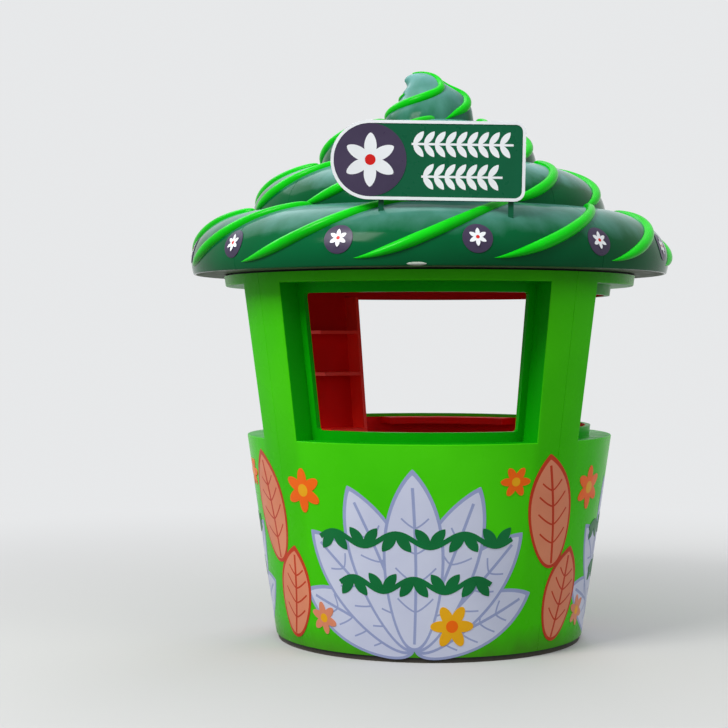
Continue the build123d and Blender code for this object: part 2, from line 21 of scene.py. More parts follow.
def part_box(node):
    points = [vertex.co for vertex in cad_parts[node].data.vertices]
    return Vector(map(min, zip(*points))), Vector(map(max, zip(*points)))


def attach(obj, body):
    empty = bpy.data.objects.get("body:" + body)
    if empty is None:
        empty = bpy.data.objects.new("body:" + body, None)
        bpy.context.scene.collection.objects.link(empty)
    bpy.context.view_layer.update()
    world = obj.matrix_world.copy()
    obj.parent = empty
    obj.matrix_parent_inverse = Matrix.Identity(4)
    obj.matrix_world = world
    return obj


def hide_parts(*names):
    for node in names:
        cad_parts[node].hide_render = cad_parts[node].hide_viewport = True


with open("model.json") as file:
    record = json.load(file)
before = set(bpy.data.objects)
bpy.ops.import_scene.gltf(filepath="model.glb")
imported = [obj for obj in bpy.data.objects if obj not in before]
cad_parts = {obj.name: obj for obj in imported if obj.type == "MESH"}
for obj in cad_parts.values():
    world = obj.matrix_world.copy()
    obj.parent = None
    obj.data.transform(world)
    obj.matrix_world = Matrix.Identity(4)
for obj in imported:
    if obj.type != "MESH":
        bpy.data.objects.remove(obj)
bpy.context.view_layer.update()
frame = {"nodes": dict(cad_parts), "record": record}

base_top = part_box("front_lower_wall")[0].z
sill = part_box("right_lower_wall")[1].z
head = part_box("top_band")[0].z
wall_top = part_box("top_band")[1].z
sill_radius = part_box("right_lower_wall")[1].x
top_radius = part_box("top_band")[1].x
wall_flare = (top_radius - sill_radius) / (wall_top - sill)
lip_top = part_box("front_lower_lining")[1].z
inner_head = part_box("header_lining")[0].z
print("sill", round(sill, 3), "head", round(head, 3), "flare", round(wall_flare, 4))

# %% [markdown]
# The wall is one straight cone, so a point on it needs only a height and an azimuth, the
# angle round the kiosk's axis. Azimuth 0 is the front, which faces -Y, and 90 is the +X
# side. A few helpers turn these into points, start and finish meshes, and set the shading.

# %% Helpers for places and meshes
SHARP_ANGLE = radians(32)
MERGE_DISTANCE = 0.00002


def wall_radius(height):
    return sill_radius + wall_flare * (height - sill)


def round_axis(azimuth, radius, height):
    turn = radians(azimuth)
    return Vector((radius * sin(turn), -radius * cos(turn), height))


def azimuth_of(point):
    return atan2(point.x, -point.y) * 180 / pi


def turn_between(azimuth, centre):
    return abs((azimuth - centre + 180) % 360 - 180)


def make_mesh(bm, name):
    mesh = bpy.data.meshes.new(name)
    bm.to_mesh(mesh)
    bm.free()
    return mesh


def add_object(name, data):
    added = bpy.data.objects.new(name, data)
    bpy.context.scene.collection.objects.link(added)
    return added


def finish_piece(bm, name, body, replaces=(), smooth=True):
    """Makes an object of a bmesh, lets it ride on a body and stand for its nodes."""
    mesh = make_mesh(bm, name)
    if smooth:
        mesh.shade_smooth()
        mesh.set_sharp_from_angle(angle=SHARP_ANGLE)
    piece = add_object(name, mesh)
    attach(piece, body)
    if replaces:
        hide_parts(*replaces)
    print(name, len(mesh.polygons), "faces")


def face_outwards(bm):
    bmesh.ops.remove_doubles(bm, verts=bm.verts, dist=MERGE_DISTANCE)
    bmesh.ops.recalc_face_normals(bm, faces=bm.faces)


def bevel_edges(bm, edges, width, segments=3):
    bmesh.ops.bevel(
        bm,
        geom=list(edges),
        offset=width,
        segments=segments,
        profile=0.5,
        affect="EDGES",
        material=-1,
        clamp_overlap=True,
    )


def pour(source, target):
    """Adds one bmesh to another and frees it."""
    mesh = make_mesh(source, "part")
    target.from_mesh(mesh)
    bpy.data.meshes.remove(mesh)


# %% [markdown]
# ## The moulded wall
#
# On the real kiosk the wall is one glossy moulding: piers, sill and head run into each
# other without a joint. Boolean cuts in a finished cone would do, but they leave long thin
# faces beside each window. Instead one column of points is spun round the axis in steps
# that stop at each window's edge. The faces in a window or the doorway are deleted, the sheet
# is extruded inwards to its depth, and the window's edges are rounded, as a mould's are.

# %% The wall's grid, window by window
SHELL_DEPTH = 0.132
FRONT_HALF = 37.8
SIDE_HALF = 35.0
LIP_ANGLE = 2.4
DOOR_EDGE = 180 - (FRONT_HALF - LIP_ANGLE)
PIER_MIDDLE = (FRONT_HALF + 90 - SIDE_HALF) / 2
STEP = 1.5
SEAM_HALF = 0.11
SEAM_DEPTH = 0.0018
CORNER_ANGLE = radians(40)
SKIN_MARGIN = 0.004
NEAR = 0.001


def spin_stops(bm, geometry, stops):
    """Spins a line of edges from stop to stop, in steps of about STEP degrees."""
    for first, last in zip(stops, stops[1:]):
        spun = bmesh.ops.spin(
            bm,
            geom=geometry,
            axis=(0, 0, 1),
            cent=(0, 0, 0),
            angle=radians(last - first),
            steps=max(1, round((last - first) / STEP)),
            use_merge=False,
        )
        geometry = spun["geom_last"]
    bmesh.ops.remove_doubles(bm, verts=bm.verts, dist=MERGE_DISTANCE)


def spin_grid(bm, stops, heights, radius_of):
    """Spins a column of points from stop to stop."""
    column = [bm.verts.new(round_axis(stops[0], radius_of(z), z)) for z in heights]
    spin_stops(bm, column + [bm.edges.new(pair) for pair in zip(column, column[1:])], stops)


def seam_stops(seams):
    """Each seam's middle and its two sides, for a shallow groove."""
    return [seam + side * SEAM_HALF for seam in seams for side in (-1, 0, 1)]


def sink_seams(bm, seams):
    """Pulls the middle line of each seam below the skin."""
    bm.normal_update()
    for vert in bm.verts:
        azimuth = azimuth_of(vert.co)
        if any(inside(azimuth, seam, SEAM_HALF / 4) for seam in seams):
            outward = round_axis(azimuth, 1, 0)
            if vert.normal.dot(outward) > 0.05:
                vert.co -= vert.normal * SEAM_DEPTH


def face_place(face):
    """A face's azimuth from 0 to 360 degrees, and its height."""
    middle = face.calc_center_median()
    return azimuth_of(middle) % 360, middle.z


def inside(azimuth, centre, half):
    return turn_between(azimuth, centre) < half


def cut_hole(bm, centre, half, low, high):
    """Deletes the faces of a spun sheet that lie in a window or a doorway."""
    hole = []
    for face in bm.faces:
        azimuth, height = face_place(face)
        if inside(azimuth, centre, half) and low < height < high:
            hole.append(face)
    bmesh.ops.delete(bm, geom=hole, context="FACES")


def beside_window(height):
    return sill - NEAR < height < head + NEAR


def thicken(bm, depth):
    """Extrudes a sheet of wall straight towards the axis, level with the floor."""
    extruded = bmesh.ops.extrude_face_region(bm, geom=list(bm.faces))["geom"]
    for vert in extruded:
        if isinstance(vert, bmesh.types.BMVert):
            radius = vert.co.xy.length
            vert.co.xy *= (radius - depth) / radius


def outer_corner(edge):
    """True on an edge of the outer skin where the wall turns into a window."""
    if len(edge.link_faces) != 2 or edge.calc_face_angle() < CORNER_ANGLE:
        return False
    middle = (edge.verts[0].co + edge.verts[1].co) / 2
    near_skin = abs(middle.xy.length - wall_radius(middle.z)) < SKIN_MARGIN
    return near_skin and beside_window(middle.z)


# %% The wall itself
WINDOW_ROUNDING = 0.007
windows = ((0, FRONT_HALF), (90, SIDE_HALF), (180, FRONT_HALF), (270, SIDE_HALF))
wall_seams = [PIER_MIDDLE, 180 - PIER_MIDDLE, 180 + PIER_MIDDLE, 360 - PIER_MIDDLE]
stops = [0, FRONT_HALF, 90 - SIDE_HALF, 90 + SIDE_HALF, 180 - FRONT_HALF, DOOR_EDGE]
stops += [360 - stop for stop in stops] + seam_stops(wall_seams)
stops.sort()
wall = bmesh.new()
spin_grid(wall, stops, (base_top, sill, head, wall_top), wall_radius)
for centre, half in windows:
    cut_hole(wall, centre, half, sill, head)
cut_hole(wall, 180, 180 - DOOR_EDGE, base_top, sill)
thicken(wall, SHELL_DEPTH)
face_outwards(wall)
bevel_edges(wall, [edge for edge in wall.edges if outer_corner(edge)], WINDOW_ROUNDING)
sink_seams(wall, wall_seams)
# The reveals take a second material: a darker green that is partly the recess's own deeper green and
# partly painted shade.
for face in wall.faces:
    azimuth, height = face_place(face)
    across = abs(face.normal.dot(round_axis(azimuth, 1, 0))) < 0.5
    if across and beside_window(height):
        face.material_index = 1
wall_nodes = ["front_lower_wall", "left_lower_wall", "right_lower_wall", "top_band"]
wall_nodes += ["front_left_pier", "front_right_pier", "rear_left_pier", "rear_right_pier"]
finish_piece(wall, "moulded_wall", "kiosk", wall_nodes)

# %% [markdown]
# ## The lips behind the windows
#
# Each window steps in to a smaller hole with a raised sill and a lowered head. The step is a
# flat lip of the same moulding. It is made as the wall was: a spun grid with the hole left
# out, thickened towards the axis, with the hole's corners rounded. Three of the lips run on
# inwards as an edge trim that hides the cut edge of the red lining.

# %% Window lips
RECESS_DEPTH = 0.120
LIP_THICK = 0.012
LIP_OVER_LINING = 0.0155
TRIM_ANGLE = 0.06
TRIM = 0.001
HOLE_CORNER = 0.016
SIDE_MARGIN = 0.01
LEVEL_MARGIN = 0.0001
LENGTH_MARGIN = 0.002


def window_lip(name, centre, half, hole_foot, wraps_lining):
    """One lip: a frame that follows the cone, with the smaller hole through it."""
    bm = bmesh.new()
    hole_half = half - LIP_ANGLE
    hole_head = inner_head
    depth = LIP_THICK
    if wraps_lining:
        hole_half -= TRIM_ANGLE
        hole_head -= TRIM
        hole_foot += TRIM
        depth += LIP_OVER_LINING
    edges = [centre - half, centre - hole_half, centre + hole_half, centre + half]
    heights = sorted({sill, hole_foot, hole_head, head})
    spin_grid(bm, edges, heights, lambda z: wall_radius(z) - RECESS_DEPTH)
    cut_hole(bm, centre, hole_half, hole_foot, hole_head)
    thicken(bm, depth)
    face_outwards(bm)
    corner_levels = [hole_head] if hole_foot == sill else [hole_head, hole_foot]
    corners = []
    for edge in bm.edges:
        first, second = (vert.co for vert in edge.verts)
        middle = (first + second) / 2
        at_side = abs(turn_between(azimuth_of(middle), centre) - hole_half) < SIDE_MARGIN
        at_level = any(abs(middle.z - level) < NEAR for level in corner_levels)
        level = abs(first.z - second.z) < LEVEL_MARGIN
        runs_through = level and abs(edge.calc_length() - depth) < LENGTH_MARGIN
        if at_side and at_level and runs_through:
            corners.append(edge)
    bevel_edges(bm, corners, HOLE_CORNER, segments=5)
    finish_piece(bm, name + "_moulding", "kiosk", [name])


SIDES = ("front", "right", "rear", "left")
for side, (centre, half) in zip(SIDES, windows):
    over_door = side == "rear"
    window_lip(f"{side}_window_lip", centre, half, sill if over_door else lip_top, not over_door)

# %% [markdown]
# ## The half door
#
# Under the rear window a piece of the wall is a door. Its panel has the wall's own curve and
# depth, a sill on top and a thin lip that closes the row of lips above it. Its two upright
# sides stand 6 mm off the jambs. Its hinge leaves, bolt, lining and ledge stay as packed.

# %% Door panel
DOOR_GAP = 0.006
DOOR_ROUNDING = 0.004
door_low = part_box("door_panel")[0].z


def door_slab(bm, low, high, outer_inset, depth):
    """One curved slab of the door, its sides drawn in from the jambs by the gap."""
    slab = bmesh.new()
    ends = (DOOR_EDGE, 360 - DOOR_EDGE)
    spin_grid(slab, ends, (low, high), lambda z: wall_radius(z) - outer_inset)
    thicken(slab, depth)
    for vert in slab.verts:
        for end, way in ((ends[0], 1), (ends[1], -1)):
            if inside(azimuth_of(vert.co), end, SIDE_MARGIN):
                along = Vector((cos(radians(end)), sin(radians(end)), 0))
                vert.co += along * way * DOOR_GAP
    face_outwards(slab)
    pour(slab, bm)


door = bmesh.new()
door_slab(door, door_low, sill, 0.0, SHELL_DEPTH)
rims = [
    edge
    for edge in door.edges
    if edge.calc_face_angle() > CORNER_ANGLE
    and all(abs(vert.co.xy.length - wall_radius(vert.co.z)) < NEAR for vert in edge.verts)
]
bevel_edges(door, rims, DOOR_ROUNDING)
door_slab(door, sill, lip_top, RECESS_DEPTH, LIP_THICK)
finish_piece(door, "door_moulding", "rear_door", ["door_panel"])

# %% [markdown]
# ## The tiers of the roof
#
# Each tier is a turned skin. Its section is a quarter ellipse outside, with straight slopes
# inside, and its top is a flat ledge that carries the next tier. The section is drawn as a
# closed ring of edges and spun a full turn. The lowest tier ends in a lip that tucks in.

# %% Tier sizes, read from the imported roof
ROOF_SKIN = 0.012
LIP_TUCK = 0.011
LIP_HEIGHT = 0.066
TIER_LEDGE = 0.050
TIER_STEP = 0.003
TIER_2_SETBACK = 0.005
TIER_3_OVERHANG = 0.090
TIER_3_SINK = 0.0056
PEAK_SETBACK = 0.020
PEAK_RADIUS = 0.250

lip_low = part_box("roof_tier_1")[0].z
reach_1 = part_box("roof_tier_1")[1].x
reach_2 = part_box("roof_tier_2")[1].x
reach_3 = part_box("roof_tier_3")[1].x
top_1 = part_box("roof_tier_1")[1].z
top_2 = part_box("roof_tier_2")[1].z
top_3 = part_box("roof_tier_3")[1].z


class Tier:
    """One tier: the ellipse's centre circle, its two half widths and its foot."""

    def __init__(self, core, reach, foot, top, low, tuck=0.0):
        self.core = core
        self.spread = reach - core
        self.foot = foot
        self.rise = top - foot
        self.low = low
        self.tuck = tuck

    def section(self, climb, proud=0.0):
        """Radius and height of the skin at an angle of climb in degrees."""
        angle = radians(climb)
        return (
            self.core + (self.spread + proud) * cos(angle),
            self.foot + (self.rise + proud) * sin(angle),
        )

    def place(self, azimuth, climb, proud=0.0):
        radius, height = self.section(climb, proud)
        return round_axis(azimuth, radius, height)

    def normal(self, azimuth, climb):
        angle = radians(climb)
        flat = round_axis(azimuth, cos(angle) / self.spread, 0)
        return (flat + Vector((0, 0, sin(angle) / self.rise))).normalized()


foot_1 = lip_low + LIP_HEIGHT
tiers = (
    Tier(reach_2 - TIER_2_SETBACK, reach_1, foot_1, top_1, lip_low, LIP_TUCK),
    Tier(reach_3 - TIER_3_OVERHANG, reach_2, top_1 + TIER_STEP, top_2, top_1),
    Tier(PEAK_RADIUS + PEAK_SETBACK, reach_3, top_2 + TIER_STEP, top_3, top_2 - TIER_3_SINK),
)

# %% Turn each tier
ROOF_SEAMS = (46, 136, 226, 316)
OUTER_STEPS = 22
LIP_STEPS = 5
INNER_CLIMBS = (90, 60, 30, 0)
LIP_ROUNDING = 0.004
LIP_OUTER = 0.015


def tier_outline(tier):
    """The closed section of a tier's skin, from its lowest outer edge upwards."""
    low = tier.low
    reach = tier.core + tier.spread
    outside = []
    for step in range(LIP_STEPS if tier.tuck else 1):
        down = 1 - step / LIP_STEPS
        outside.append((reach - tier.tuck * down**2, tier.foot + (low - tier.foot) * down))
    outside += [tier.section(90 * step / OUTER_STEPS) for step in range(OUTER_STEPS + 1)]
    ledge = tier.core - TIER_LEDGE
    outside.append((ledge, tier.foot + tier.rise))
    inner = [(ledge, tier.foot + tier.rise - ROOF_SKIN)]
    inner += [tier.section(climb, -ROOF_SKIN) for climb in INNER_CLIMBS]
    inner.append((reach - tier.tuck - ROOF_SKIN, low))
    return outside + inner


def on_lip(edge, tier):
    """True on the outer edge under the lowest tier, where the lip is rounded."""
    radii = [vert.co.xy.length for vert in edge.verts]
    low = all(abs(vert.co.z - tier.low) < LEVEL_MARGIN for vert in edge.verts)
    return low and abs(radii[0] - radii[1]) < LEVEL_MARGIN and radii[0] > reach_1 - LIP_OUTER


def turn_tier(name, tier):
    bm = bmesh.new()
    stops = seam_stops(ROOF_SEAMS)
    stops.append(stops[0] + 360)
    ring = [bm.verts.new(round_axis(stops[0], *corner)) for corner in tier_outline(tier)]
    edges = [bm.edges.new((ring[i - 1], ring[i])) for i in range(len(ring))]
    spin_stops(bm, ring + edges, stops)
    face_outwards(bm)
    if tier.tuck:
        bevel_edges(bm, [edge for edge in bm.edges if on_lip(edge, tier)], LIP_ROUNDING)
    sink_seams(bm, ROOF_SEAMS)
    finish_piece(bm, f"{name}_skin", "kiosk", [name])


for number, tier in enumerate(tiers, start=1):
    turn_tier(f"roof_tier_{number}", tier)

# %% [markdown]
# ## The curled peak
#
# The peak is a soft cone whose top leans over to one side, like cream leaving a nozzle.
# It is lofted: circles stand at stations that tilt more and more, and each pair of rings is
# bridged. The stations below are the few that give the form, and a smooth curve through
# them gives the rings between. A row holds a ring's height over the top tier, how far it
# leans to the side, its radius, and its tilt in degrees.

# %% Stations of the peak and the curve through them
ROOF_TURN = 4.5
PEAK_STATIONS = (
    (0.000, 0.000, PEAK_RADIUS, 0),
    (0.050, 0.006, 0.238, 0),
    (0.100, 0.020, 0.213, 0),
    (0.150, 0.016, 0.177, 4),
    (0.193, -0.022, 0.130, 12),
    (0.225, -0.050, 0.100, 24),
    (0.243, -0.076, 0.070, 40),
    (0.252, -0.102, 0.040, 62),
    (0.254, -0.122, 0.020, 78),
    (0.250, -0.133, 0.006, 92),
)


def smooth_between(rows, t):
    """A smooth value between rows of numbers, where t counts rows."""
    i = min(int(t), len(rows) - 2)
    part = t - i
    before, first, second, after = (
        rows[max(0, min(len(rows) - 1, i + shift))] for shift in (-1, 0, 1, 2)
    )
    values = []
    for p0, p1, p2, p3 in zip(before, first, second, after):
        bend = 2 * p0 - 5 * p1 + 4 * p2 - p3
        twist = 3 * p1 - p0 - 3 * p2 + p3
        values.append(p1 + 0.5 * part * (p2 - p0 + part * (bend + part * twist)))
    return values


def peak_ring(t):
    """The turn and place of the peak's ring at a station, and its radius."""
    over, lean, radius, tilt = smooth_between(PEAK_STATIONS, t)
    place = Matrix.Rotation(radians(ROOF_TURN), 4, "Z") @ Matrix.Translation((lean, 0, top_3 + over))
    return place @ Matrix.Rotation(radians(-tilt), 4, "Y"), radius


def peak_place(t, azimuth):
    """The point of the peak's skin at a station and an azimuth."""
    place, radius = peak_ring(t)
    turn = radians(azimuth)
    return place @ Vector((radius * sin(turn), -radius * cos(turn), 0))


def peak_normal(t, azimuth):
    """Outward direction of the skin, across two short steps along it."""
    small = 0.01
    along = peak_place(t + small, azimuth) - peak_place(max(t - small, 0), azimuth)
    around = peak_place(t, azimuth + 1) - peak_place(t, azimuth - 1)
    return around.cross(along).normalized()


# %% Loft the peak
PEAK_RINGS_EACH = 5
PEAK_SIDES = 64


def add_ring(bm, place, radius, sides):
    ring = bmesh.ops.create_circle(bm, segments=sides, radius=radius, matrix=place)["verts"]
    return list({edge for vert in ring for edge in vert.link_edges})


def bridge_rings(bm, rings):
    for first, second in zip(rings, rings[1:]):
        bmesh.ops.bridge_loops(bm, edges=first + second)
    bmesh.ops.holes_fill(bm, edges=rings[0], sides=0)
    bmesh.ops.holes_fill(bm, edges=rings[-1], sides=0)


peak = bmesh.new()
rings = []
ring_count = PEAK_RINGS_EACH * (len(PEAK_STATIONS) - 1)
for count in range(ring_count + 1):
    place, radius = peak_ring(count / PEAK_RINGS_EACH)
    rings.append(add_ring(peak, place, radius, PEAK_SIDES))
bridge_rings(peak, rings)
bmesh.ops.recalc_face_normals(peak, faces=peak.faces)
finish_piece(peak, "roof_peak_skin", "kiosk", ["roof_peak"])

# %% [markdown]
# ## The ribs
#
# The ribs look as if a bright cream had been piped over the dark one. Each starts in a sharp
# point near a tier's foot, swells, and sweeps round as it climbs to the tier's top. A curve
# with a bevel would roll over on the way, so the rib is lofted too: a flattened circle stands
# at each step, square to the path, with its flat side just inside the skin. Around a tier
# all ribs share one path: the azimuth grows evenly, and the climb slowly at first.

# %% Loft one rib
RIB_SIDES = 20
RIB_STEPS = 48
RIB_SINK = 0.004
RIB_LIFT = -0.05


def swell(t, full_at):
    """Share of the full thickness near a rib's sharp start."""
    return sin(pi / 2 * min(t / full_at, 1)) ** 0.85


def taper(t, taper_from, loss):
    return 1 - loss * max(0, (t - taper_from) / (1 - taper_from))


def rib_size(t):
    """Share of the full thickness: a sharp start, a full body and a blunt round end."""
    end = sqrt(max(0, 1 - max(0, (t - 0.93) / 0.07) ** 2))
    return max(0.04, swell(t, 0.36) * taper(t, 0.5, 0.28) * end)


def loft_rib(bm, path, thickness):
    """Lofts a rib along path, a list of (point, outward normal, share of thickness)."""
    rings = []
    for i, (point, normal, share) in enumerate(path):
        ahead = path[min(i + 1, len(path) - 1)][0] - path[max(i - 1, 0)][0]
        side = ahead.cross(normal).normalized()
        up = side.cross(ahead).normalized()
        radius = thickness * share
        place = Matrix((side, up, ahead.normalized())).transposed().to_4x4()
        place.translation = point + up * RIB_LIFT * radius
        edges = add_ring(bm, place, radius, RIB_SIDES)
        for vert in {vert for edge in edges for vert in edge.verts}:
            depth = (vert.co - point).dot(up)
            if depth < -RIB_SINK * share:
                vert.co += up * (-RIB_SINK * share - depth)
        rings.append(edges)
    bridge_rings(bm, rings)


# %% Ribs of the tiers
RIB_RISE_POWER = 1.4

# name, tier, how many ribs, thickness, first azimuth, sweep, lowest and highest climb
RIB_SETS = (
    ("ribs_tier_1", tiers[0], 12, 0.0300, -15.8, 40, -6, 84),
    ("ribs_tier_2", tiers[1], 11, 0.0280, -9.5, 40, 0, 74),
    ("ribs_tier_3", tiers[2], 7, 0.0260, -1.3, 58, 0, 83),
)
for name, tier, count, thickness, start, sweep, low_climb, top_climb in RIB_SETS:
    ribs = bmesh.new()
    for k in range(count):
        first = ROOF_TURN + start + 360 * k / count
        path = []
        for step in range(RIB_STEPS + 1):
            t = step / RIB_STEPS
            azimuth = first + sweep * t
            climb = low_climb + (top_climb - low_climb) * t**RIB_RISE_POWER
            path.append((tier.place(azimuth, climb), tier.normal(azimuth, climb), rib_size(t)))
        loft_rib(ribs, path, thickness)
    bmesh.ops.recalc_face_normals(ribs, faces=ribs.faces)
    finish_piece(ribs, f"{name}_piping", "kiosk", [name])

# %% Ribs of the peak
PEAK_RIB_THICK = 0.026
PEAK_RIB_LOW = 0.02

# azimuth of the foot, sweep, how early the sweep is made, and how far up the rib ends
PEAK_RIB_ROUTES = ((-134, 226, 1.6, 0.90), (20, 84, 1.7, 0.74), (115, 185, 1.0, 0.54))
strides = [
    Vector(after[:3]) - Vector(before[:3]) for before, after in zip(PEAK_STATIONS, PEAK_STATIONS[1:])
]
peak_length = sum(stride.length for stride in strides)


def station_at(share):
    """The station that lies a share of the way along the peak's skin."""
    left = share * peak_length
    for station, stride in enumerate(strides):
        if left <= stride.length:
            return station + left / stride.length
        left -= stride.length
    return len(strides)


ribs = bmesh.new()
for start, sweep, ease, top in PEAK_RIB_ROUTES:
    path = []
    for step in range(RIB_STEPS + 1):
        t = step / RIB_STEPS
        azimuth = start + sweep * (1 - (1 - t) ** ease)
        station = station_at(PEAK_RIB_LOW + (top - PEAK_RIB_LOW) * t)
        share = max(0.05, swell(t, 0.32) * taper(t, 0.4, 0.72))
        path.append((peak_place(station, azimuth), peak_normal(station, azimuth), share))
    loft_rib(ribs, path, PEAK_RIB_THICK)
bmesh.ops.recalc_face_normals(ribs, faces=ribs.faces)
finish_piece(ribs, "ribs_peak_piping", "kiosk", ["ribs_peak"])

# %% [markdown]
# ## Printed shapes on the wall
#
# The wall carries large printed vinyl shapes. Here they are leaves and small flowers. Each
# starts as a flat circle, is pushed into its outline, is raised by some tenths of a
# millimetre, and is cut into upright strips. Then it is bent round the cone. The strips
# matter: without them the flat middle of a leaf would sink below the curved wall. Each layer
# stands a little prouder than the one it lies on, so no two of them share a surface.

# %% Flat shapes and how they bend round the wall
PRINT_HEIGHT = 0.50
VINYL = 0.00022
STRIP = 0.020
OVAL_SIDES = 56


def flat_oval(length, width, tip=1.0, base=1.0):
    """A flat leaf outline from its base at the origin up to its tip, more pointed at 2."""
    bm = bmesh.new()
    bmesh.ops.create_circle(bm, cap_ends=True, segments=OVAL_SIDES, radius=1)
    for vert in bm.verts:
        x, y = vert.co.x, vert.co.y
        power = base + (tip - base) * (y + 1) / 2
        across = width / 2 * abs(x) ** power
        vert.co = Vector((across if x > 0 else -across, length / 2 * (y + 1), 0))
    return bm


def flat_ribbon(points, width):
    """A flat ribbon of the given width along a list of flat points."""
    bm = bmesh.new()
    pairs = []
    for i, point in enumerate(points):
        ahead = Vector(points[min(i + 1, len(points) - 1)]) - Vector(points[max(i - 1, 0)])
        side = Vector((-ahead.y, ahead.x)).normalized() * width / 2
        ends = [Vector((*point, 0)) + Vector((*side, 0)) * way for way in (1, -1)]
        pairs.append([bm.verts.new(end) for end in ends])
    first = bm.edges.new(pairs[0])
    for pair in pairs[1:]:
        second = bm.edges.new(pair)
        bmesh.ops.bridge_loops(bm, edges=[first, second])
        first = second
    return bm


def raise_vinyl(bm, proud):
    """Gives a flat shape its thickness, from just under the surface to its height."""
    bmesh.ops.translate(bm, verts=bm.verts, vec=(0, 0, -VINYL))
    extruded = bmesh.ops.extrude_face_region(bm, geom=list(bm.faces))["geom"]
    tops = [part for part in extruded if isinstance(part, bmesh.types.BMVert)]
    bmesh.ops.translate(bm, verts=tops, vec=(0, 0, VINYL + proud))


def cut_in_strips(bm):
    low = min(vert.co.x for vert in bm.verts)
    high = max(vert.co.x for vert in bm.verts)
    cut = int(low / STRIP) - 1
    while cut * STRIP < high:
        whole = list(bm.verts) + list(bm.edges) + list(bm.faces)
        at = (cut * STRIP, 0, 0)
        bmesh.ops.bisect_plane(bm, geom=whole, dist=1e-6, plane_co=at, plane_no=(1, 0, 0))
        cut += 1


def add_shape(target, shape, place, proud, azimuth=None):
    """Adds a placed flat shape, bent round the wall where an azimuth is given."""
    raise_vinyl(shape, proud)
    bmesh.ops.transform(shape, matrix=place, verts=shape.verts)
    if azimuth is not None:
        cut_in_strips(shape)
        for vert in shape.verts:
            level = PRINT_HEIGHT + vert.co.y
            turn = azimuth + vert.co.x / wall_radius(PRINT_HEIGHT) * 180 / pi
            vert.co = round_axis(turn, wall_radius(level) + vert.co.z, level)
    bmesh.ops.recalc_face_normals(shape, faces=shape.faces)
    pour(shape, target)


def flat_place(x, y, turn):
    return Matrix.Translation((x, y, 0)) @ Matrix.Rotation(radians(turn), 4, "Z")


# %% One leaf: edge, blade and veins
LEAF_EDGE = 0.015
MIDRIB_SWAY = 0.012
MIDRIB_STEPS = 12
VEIN_STEPS = 6
VEIN_SHARES = (0.22, 0.38, 0.54, 0.68)


def add_leaf(edges, blades, x, y, turn, length, width, azimuth, layer):
    """A leaf with a darker edge and veins, lying over the layers before it."""
    place = flat_place(x, y, turn)
    proud = VINYL * (1 + layer)
    add_shape(edges, flat_oval(length, width, tip=1.7), place, proud, azimuth)
    inset = place @ Matrix.Translation((0, LEAF_EDGE * 1.2, 0))
    blade = flat_oval(length - 3.2 * LEAF_EDGE, width - 2 * LEAF_EDGE, tip=1.7)
    add_shape(blades, blade, inset, proud + VINYL / 3, azimuth)
    midrib = []
    for step in range(MIDRIB_STEPS + 1):
        t = step / MIDRIB_STEPS
        midrib.append((MIDRIB_SWAY * sin(pi * t), length * (0.04 + 0.86 * t)))
    veins = [flat_ribbon(midrib, LEAF_EDGE)]
    for share in VEIN_SHARES:
        reach = width * 0.33 * sin(pi * (share + 0.12)) ** 0.8
        for side in (-1, 1):
            points = []
            for step in range(VEIN_STEPS + 1):
                t = step / VEIN_STEPS
                x = MIDRIB_SWAY * sin(pi * share) + side * reach * t
                points.append((x, length * share + reach * 0.75 * t**1.4))
            veins.append(flat_ribbon(points, LEAF_EDGE * 0.6))
    for vein in veins:
        add_shape(edges, vein, place, proud + VINYL * 2 / 3, azimuth)


# %% One flower: round petals about a centre
def add_flower(petals, centres, x, y, size, azimuth, layer, turn=0):
    for k in range(6):
        place = flat_place(x, y, turn + 60 * k)
        petal = flat_oval(size, size * 0.52, tip=1.0, base=1.4)
        add_shape(petals, petal, place, VINYL * (1 + layer + k / 8), azimuth)
    disc = flat_oval(size * 0.56, size * 0.56)
    place = flat_place(x, y - size * 0.28, 0)
    add_shape(centres, disc, place, VINYL * (2 + layer), azimuth)


# %% Lay the shapes out
prints = {
    name: bmesh.new()
    for name in ("lavender_edge", "lavender", "terracotta", "salmon", "orange", "yellow", "ornament")
}
SPRAY_FOOT = -0.44
SPRAY = ((-66, 0.70, 0.27), (66, 0.70, 0.27), (-43, 0.82, 0.29), (43, 0.82, 0.29))
SPRAY += ((-21, 0.90, 0.30), (21, 0.90, 0.30), (0, 0.93, 0.31))


def lay_spray(edges, blades, spray, foot, centre):
    """A fan of large pale leaves that spread from one point near the wall's foot."""
    for layer, (turn, length, width) in enumerate(spray):
        add_leaf(edges, blades, 0, foot, -turn, length, width, centre, layer)


# pairs of terracotta leaves, one over the other, between the sprays
SIDE_LEAVES = ((-0.04, -0.04, 8, 0.60, 0.29, 8), (0.02, -0.43, -10, 0.50, 0.27, 9))
SPRAY_CENTRES = (0, 102, -102)
SIDE_LEAF_CENTRES = (51, -51)

# petals, heart, place across and up, size, layer and turn
FLOWERS = (
    ("orange", "yellow", -0.59, 0.36, 0.115, 9, 0),
    ("orange", "yellow", 0.50, 0.42, 0.080, 9, 30),
    ("yellow", "orange", 0.20, -0.31, 0.115, 10, 30),
    ("salmon", "yellow", -0.53, -0.30, 0.085, 10, 10),
)
for centre in SPRAY_CENTRES:
    lay_spray(prints["lavender_edge"], prints["lavender"], SPRAY, SPRAY_FOOT, centre)
    for petals, heart, x, y, size, layer, turn in FLOWERS:
        add_flower(prints[petals], prints[heart], x, y, size, centre, layer, turn)
for centre in SIDE_LEAF_CENTRES:
    for *leaf, layer in SIDE_LEAVES:
        add_leaf(prints["terracotta"], prints["salmon"], *leaf, centre, layer)

# %% A vine across the spray
VINE_STEPS = 60
VINE_SWING = 0.034
VINE_WIDTH = 0.026
VINE_LEAF = 0.118
VINE_LAYER = 12
VINES = ((0.13, 0.50, 3), (-0.10, 0.40, 2.5))


def vine_height(x, half, turns):
    return VINE_SWING * sin(pi * turns * (x / half + 1))


